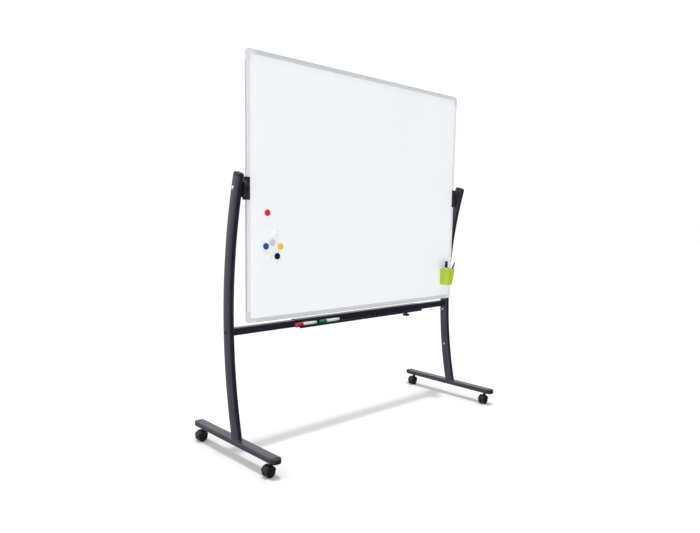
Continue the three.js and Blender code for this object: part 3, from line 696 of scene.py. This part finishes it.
def cut_below_hood(bm, axle, radius):
    """Moves a boss's lowest ring up to just inside the hood's skin."""
    lowest, tolerance, into_skin = min(v.co.z for v in bm.verts), 1e-6, 0.8 * MM
    for vert in bm.verts:
        if vert.co.z < lowest + tolerance:
            across = vert.co.x - axle.x
            skin = max(radius ** 2 - across ** 2, 0) ** 0.5
            vert.co.z = axle.z + skin + into_skin


def make_wheel(body, label, direction, axle, paint):
    """Tyre with a rounded tread and a dished hub with spokes on its outer face."""
    node = f"{body}_wheel_{label}"
    low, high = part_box(node)
    radius, width = (high.z - low.z) / 2, high.y - low.y
    inner_face = low.y if direction > 0 else high.y
    place = axis_frame((axle.x, inner_face, axle.z), (0, direction, 0))
    hub, edge = 18.4 * MM, 2.4 * MM
    outer = [(radius - edge + edge * sin(radians(a)), width - edge + edge * cos(radians(a)))
             for a in range(90, -1, -15)]
    tyre = [(hub, 0.4 * MM), (radius - 2 * MM, 0.4 * MM), (radius - 0.6 * MM, 1.0 * MM),
            (radius, edge), *outer, (hub + 1.2 * MM, width), (hub, width - 0.8 * MM)]
    add_piece(f"{node}_tyre", turned(tyre, 64, place), node, paint["wheel"],
              [node])
    dish, bore = width - 3.4 * MM, 4.2 * MM
    disc = [(bore, 0), (hub, 0), (hub, dish + 1.6 * MM), (hub - 1.2 * MM, dish + 1.6 * MM),
            (hub - 1.8 * MM, dish), (8.4 * MM, dish), (7.8 * MM, dish + 2.0 * MM),
            (bore + 0.6 * MM, dish + 2.0 * MM), (bore, dish + 1.4 * MM)]
    add_piece(f"{node}_hub", turned(disc, 64, place), node, paint["black"])
    cap = [(0, dish + 0.4 * MM), (6.6 * MM, dish + 0.4 * MM), (7.0 * MM, dish + 1.9 * MM),
           (6.2 * MM, dish + 2.4 * MM), (3.4 * MM, dish + 2.8 * MM), (0, dish + 2.9 * MM)]
    add_piece(f"{node}_hub_cap", turned(cap, 40, place), node, paint["black"])
    spokes, root, tip = bmesh.new(), 7.6 * MM, 17 * MM
    for i in range(6):
        turn = place @ Matrix.Rotation(pi / 3 * i, 4, "Z")

        def ring(root_half, tip_half, root_rise, tip_rise):
            corners = ((root, -root_half, root_rise), (tip, -tip_half, tip_rise),
                       (tip, tip_half, tip_rise), (root, root_half, root_rise))
            return [turn @ Vector((along, across, dish + rise)) for along, across, rise in corners]

        loft(spokes, [ring(1.1 * MM, 0.8 * MM, -0.5 * MM, -0.5 * MM),
                      ring(0.8 * MM, 0.5 * MM, 1.4 * MM, 1.0 * MM)])
    add_piece(f"{node}_spokes", spokes, node, paint["black"])


# ------------------------------------------------------------------ board

FRAME_EDGE = 2 * MM


def frame_section():
    """Outline of the frame: inward from the outer edge, then across the thickness."""
    half, face, radius = 5 * MM, 21 * MM, FRAME_EDGE
    slot_half, slot_floor = 3.6 * MM, 5.7 * MM
    groove = [(7.5, 0), (7.7, 0.45), (8.8, 0.45), (9.0, 0)]

    def side(sign):
        points = [(u * MM, sign * (half - v * MM)) for u, v in groove]
        points += [(face - 0.8 * MM, sign * half), (face - 0.2 * MM, sign * (half - 0.3 * MM)),
                   (face, sign * (half - 0.9 * MM)), (face, sign * slot_half),
                   (slot_floor, sign * slot_half)]
        return points

    return [*arc(radius, half - radius, radius, 180, 90, 8), *side(1), *reversed(side(-1)),
            *arc(radius, radius - half, radius, 270, 180, 8)]


def paint_shade_on_outer_side(profile, axis, edge, material):
    """Paints shade on a profile's rounded outer side by giving it a darker copy of the drawn aluminium
    finish.
    """
    profile.data.materials.append(material)
    reach = FRAME_EDGE + 0.05 * MM
    for face in profile.data.polygons:
        if abs(face.center[axis] - edge) < reach:
            face.material_index = 1


def make_frame(paint):
    outline = frame_section()
    for name, inward in (("frame_left", 1), ("frame_right", -1)):
        low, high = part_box(name)
        edge, middle = (low.x if inward > 0 else high.x), (low.y + high.y) / 2
        section = [(edge + inward * u, middle + v) for u, v in outline]
        profile = add_piece(f"{name}_profile", extruded(section, "z", low.z, high.z), "board",
                            paint["aluminium_z"], [name], sharp=25)
        # Painted shade on the side's rounded outer side.
        paint_shade_on_outer_side(profile, 0, edge, paint["edge_painted_shade_z"])
    for name, inward in (("frame_bottom", 1), ("frame_top", -1)):
        low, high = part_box(name)
        edge, middle = (low.z if inward > 0 else high.z), (low.y + high.y) / 2
        section = [(middle + v, edge + inward * u) for u, v in outline]
        # The rails' faces take the darker copy of the aluminium: painted shade.
        profile = add_piece(f"{name}_profile", extruded(section, "x", low.x, high.x), "board",
                            paint["aluminium_painted_shade_x"], [name], sharp=25)
        # Painted shade on the rail's rounded outer side.
        paint_shade_on_outer_side(profile, 2, edge, paint["edge_painted_shade_x"])


def make_panel(paint):
    """The core, both sheets and the corner pieces keep their CAD shapes."""
    finishes = (("board_core", "core"), ("front_sheet", "enamel"), ("back_sheet", "enamel"))
    for node, finish_name in finishes:
        dress(frame["nodes"][node], paint[finish_name])
    for x in ("left", "right"):
        for z in ("top", "bottom"):
            corner = frame["nodes"][f"corner_{z}_{x}"]
            dress(corner, paint["grey"])
            soften(corner, 1.4 * MM, 4)
            make_corner_screws(z, x, paint)


def make_corner_screws(level, side, paint):
    """A small screw on each leg of a corner piece, on both faces of the board."""
    low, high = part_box(f"corner_{level}_{side}")
    x_out, x_in = (low.x, 1) if side == "left" else (high.x, -1)
    z_out, z_in = (high.z, -1) if level == "top" else (low.z, 1)
    inset, along = 10.5 * MM, 36 * MM
    places = ((x_out + x_in * along, z_out + z_in * inset), (x_out + x_in * inset, z_out + z_in * along))
    for i, (x, z) in enumerate(places):
        for face, y, out in (("front", low.y, -1), ("rear", high.y, 1)):
            place = axis_frame((x, y + out * 0.05 * MM, z), (0, out, 0))
            profile = [(0, -0.6 * MM), (2.6 * MM, -0.6 * MM), (2.6 * MM, -0.15 * MM),
                       (2.2 * MM, 0), (1.2 * MM, 0), (0.9 * MM, -0.35 * MM), (0, -0.4 * MM)]
            add_piece(f"corner_screw_{level}_{side}_{face}_{i}", turned(profile, 24, place),
                      "board", paint["silver"])


def make_clip(side, sign, paint):
    node = f"{side}_clip"
    low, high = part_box(node)
    outer_x, inner_x = (low.x, high.x) if sign < 0 else (high.x, low.x)
    middle, half, slot = (low.y + high.y) / 2, (high.y - low.y) / 2, 5.3 * MM
    radius, web, edge = 1.8 * MM, 10.7 * MM, 1 * MM

    def point(distance, y):
        """A place in the section: a distance inward from the web's outer face, and across."""
        return (outer_x - sign * distance, middle + y)

    depth = abs(inner_x - outer_x)
    section = [point(u, v) for u, v in arc(radius, half - radius, radius, 180, 90, 5)]
    section += [point(depth - edge, half), point(depth, half - edge), point(depth, slot),
                point(web, slot), point(web, -slot), point(depth, -slot),
                point(depth, edge - half), point(depth - edge, -half)]
    section += [point(u, v) for u, v in arc(radius, radius - half, radius, 270, 180, 5)]
    add_piece(f"{side}_clip_channel", extruded(section, "z", low.z, high.z), "board",
              paint["clip"], [node], bevel=0.7 * MM, steps=3)


def make_pivot(side, sign, paint):
    low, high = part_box(f"{side}_pivot_disc")
    radius = (high.z - low.z) / 2
    inner = low.x if sign > 0 else high.x
    place = axis_frame((inner, PIVOT.y, PIVOT.z), (sign, 0, 0))
    depth, bore, rim, bend = high.x - low.x, 4.6 * MM, 1.6 * MM, 0.5 * MM
    profile = [(bore, 0), (radius - rim, 0), (radius - bend, bend), (radius, rim),
               (radius, depth - rim), (radius - bend, depth - bend), (radius - rim, depth),
               (bore, depth)]
    add_piece(f"{side}_disc_ring", turned(profile, 96, place), "stand", paint["black"],
              [f"{side}_pivot_disc"])
    low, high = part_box(f"{side}_pivot_bolt")
    head_x = high.x if sign > 0 else low.x
    head_height = 6 * MM
    base = Vector((head_x - sign * head_height, PIVOT.y, PIVOT.z))
    socket_head(f"{side}_pivot_head", base, (sign, 0, 0), 8.5 * MM, head_height, 4 * MM, "board",
                paint["steel"], [f"{side}_pivot_bolt"])
    length = high.x - low.x - head_height
    shank = turned(disc_profile(4 * MM, 0, length, 0.6 * MM), 32, axis_frame(base, (-sign, 0, 0)))
    add_piece(f"{side}_pivot_shank", shank, "board", paint["steel"])


# ------------------------------------------------------------------ cup, pens, markers, magnets

def make_cup(paint):
    """A tapered cup with a flat back. Its top and bottom are width, depth and front corner radius."""
    low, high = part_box("pen_cup")
    x, back = (low.x + high.x) / 2, high.y
    top, bottom, back_radius = (73 * MM, 62 * MM, 14 * MM), (62 * MM, 50 * MM, 12 * MM), 4 * MM
    wall, floor, height = 2.2 * MM, 3 * MM, high.z - low.z

    def ring(share, shrink, z):
        width, depth, radius = (b + (t - b) * share for t, b in zip(top, bottom))
        points = rounded(width - 2 * shrink, depth - 2 * shrink,
                         [back_radius - shrink / 2] * 2 + [radius - shrink] * 2, 8)
        return [Vector((x + u, back - depth / 2 + v, z)) for u, v in points]

    foot_edge = 1.6 * MM
    rings = [ring(0, foot_edge + 1 * MM, low.z + 0.6 * MM), ring(0, foot_edge, low.z)]
    rings += [ring(0.02 * i, foot_edge * (1 - sin(radians(22.5 * i))),
                   low.z + foot_edge * (1 - cos(radians(22.5 * i)))) for i in range(1, 5)]
    levels = 14
    rings += [ring(i / levels, 0, low.z + height * i / levels) for i in range(1, levels)]
    lip = wall / 2
    rings += [ring(1, lip * (1 - cos(radians(a))), high.z - lip * (1 - sin(radians(a))))
              for a in (0, 30, 60, 90, 120, 150, 180)]
    rings += [ring(i / levels, wall, low.z + floor + (height - floor) * i / levels)
              for i in range(levels - 1, 0, -1)]
    rings += [ring(floor / height, wall + 1.2 * MM, low.z + floor)]
    add_piece("cup_shell", lofted(rings), "board", paint["lime"], ["pen_cup"],
              sharp=50)


def pen_parts(name, base, tip, body, node, sections):
    """Turned sections along a pen: each has a label, a profile, a material and a slot."""
    place = axis_frame(base, Vector(tip) - Vector(base))
    for i, (label, profile, material, slot) in enumerate(sections):
        points = [(r * MM, h * MM) for r, h in profile]
        add_piece(f"{name}_{label}", turned(points, 40, place), body, material,
                  [node] if i == 0 else ())


def ring_of(radius, low, high):
    """A short turned section with eased edges, in millimetres, closed on the axis."""
    edge = 0.4
    return [(0, low), (radius - edge, low), (radius, low + edge), (radius, high - edge),
            (radius - edge, high), (0, high)]


def make_cup_pens(paint):
    marker = [
        ("barrel", [(0, 0), (5.4, 0), (6.6, 0.6), (8.0, 3), (8.1, 20), (8.1, 97), (0, 97)],
         paint["white"], "marker_white"),
        ("cap", [(0, 97.3), (8.2, 97.3), (8.55, 98), (8.5, 120), (8.2, 131), (7.4, 135), (5.8, 136.6),
                 (0, 136.9)], paint["ink_black"], "marker_black"),
        ("band", ring_of(8.3, 80, 82.5), paint["ink_black"], "marker_black"),
    ]
    pen_parts("cup_marker", (0.672, -0.044, 0.714), (0.671, -0.052, 0.851), "board", "black_marker",
              marker)
    pen = [
        ("body", [(0, 0), (0.9, 0.2), (1.8, 3), (4.3, 11), (4.9, 14), (4.95, 95), (0, 95)],
         paint["white"], "marker_white"),
        ("cap", [(0, 95.2), (5, 95.2), (5, 126), (3.6, 128), (3.6, 131), (0, 131)], paint["blue"],
         "pen_blue"),
        ("crown", [(0, 130.8), (3.5, 130.8), (4.5, 133), (4.6, 136.4), (3.6, 139.4), (0, 140)],
         paint["blue"], "pen_blue"),
    ]
    pen_parts("cup_pen", (0.662, -0.064, 0.715), (0.714, -0.080, 0.841), "board", "blue_pen", pen)


def make_tray_markers(paint):
    for colour in ("red", "green"):
        node = f"{colour}_marker"
        low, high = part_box(node)
        middle = (low + high) / 2
        base, tip = (low.x, middle.y, middle.z), (high.x, middle.y, middle.z)
        sections = [
            ("cap", [(0, 0), (6.4, 0), (7.6, 0.5), (8.3, 1.8), (8.7, 6), (8.85, 14), (8.85, 45),
                     (8.6, 45.8), (0, 45.8)], paint[colour], f"marker_{colour}"),
            ("barrel", ring_of(8.2, 46, 121), paint["white"], "marker_white"),
            ("band", ring_of(8.3, 121, 124), paint["ink_black"], "marker_black"),
            ("plug", [(0, 124), (8.2, 124), (8.2, 130), (7.6, 132.6), (6.2, 134), (0, 134)],
             paint["white"], "marker_white"),
        ]
        pen_parts(node, base, tip, "tray", node, sections)


# Each magnet's name, x, z, finish and record slot.
MAGNETS = (
    ("upper_red", -0.632, 1.119, "red", "marker_red"),
    ("white_upper", -0.586, 1.024, "white", "marker_white"),
    ("grey", -0.604, 0.984, "silver", "magnet_grey"),
    ("blue", -0.640, 0.967, "azure", "magnet_blue"),
    ("yellow", -0.558, 0.964, "yellow", "magnet_yellow"),
    ("black", -0.576, 0.920, "ink_black", "marker_black"),
    ("white_lower", -0.629, 0.917, "white", "marker_white"),
)


def make_magnets(paint):
    """Round moulded magnets: a shallow crown, a stepped rim and a dark ferrite underside."""
    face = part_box("front_sheet")[0].y
    radius, height, crown_share, crown_rise = 15 * MM, 7 * MM, 0.86, 1.4 * MM
    crown = [(radius * crown_share * cos(radians(a)), height - crown_rise + crown_rise * sin(radians(a)))
             for a in range(0, 90, 10)]
    profile = [(0, 1 * MM), (radius - 0.6 * MM, 1 * MM), (radius, 1.8 * MM),
               (radius, height - 2.6 * MM), (radius - 0.8 * MM, height - 1.7 * MM), *crown, (0, height)]
    for name, x, z, finish_name, slot in MAGNETS:
        place = axis_frame((x, face - 0.1 * MM, z), (0, -1, 0))
        add_piece(f"magnet_{name}", turned(profile, 48, place), "board", paint[finish_name])
        base = turned(disc_profile(radius - 1.2 * MM, 0, 1.2 * MM, 0.2 * MM), 40, place)
        add_piece(f"magnet_{name}_base", base, "board", paint["ink_black"])


# ------------------------------------------------------------------ fasteners on the stand

INNER_SCREW_HEIGHTS = (0.538, 0.3185)


def make_fasteners(side, sign, paint):
    """Heads of the crossbar and foot bolts, and two small screws on the upright's inner side."""
    low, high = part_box(f"{side}_crossbar_bolt")
    middle = (low + high) / 2
    head_x = high.x if sign > 0 else low.x
    height = 3.5 * MM
    socket_head(f"{side}_crossbar_head", (head_x - sign * height, middle.y, middle.z), (sign, 0, 0),
                6.5 * MM, height, 2.5 * MM, "stand", paint["black"],
                [f"{side}_crossbar_bolt"])
    low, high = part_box(f"{side}_foot_bolt")
    middle = (low + high) / 2
    height = 4 * MM
    socket_head(f"{side}_foot_bolt_head", (middle.x, middle.y, low.z + height), (0, 0, -1), 7 * MM,
                height, 2.5 * MM, "stand", paint["steel"], [f"{side}_foot_bolt"])
    for i, z in enumerate(INNER_SCREW_HEIGHTS):
        angle = bow_angle(z)
        y = BOW["rear_y"] - BOW["radius"] * (1 - cos(angle))
        face = centre_of(f"{side}_upright").x - sign * (TUBE["half_width"] - 0.1 * MM)
        socket_head(f"{side}_inner_screw_{i}", (face, y, z), (-sign, 0, 0), 5.5 * MM, 2.6 * MM, 2 * MM,
                    "stand", paint["steel"])


# ------------------------------------------------------------------ assembly

def main():
    make_camera()
    make_floor()
    make_world()
    make_lights()
    paint = make_materials()
    for side, sign in SIDES:
        make_upright(side, paint)
        make_upright_cap(side, paint)
        make_foot(side, paint)
        make_clip(side, sign, paint)
        make_pivot(side, sign, paint)
        make_fasteners(side, sign, paint)
        for end, end_sign in ENDS:
            make_foot_cap(side, end, end_sign, paint)
            make_caster(side, end, paint)
    make_crossbar(paint)
    make_tray(paint)
    make_knob(paint)
    make_panel(paint)
    make_frame(paint)
    make_cup(paint)
    make_cup_pens(paint)
    make_tray_markers(paint)
    make_magnets(paint)


main()
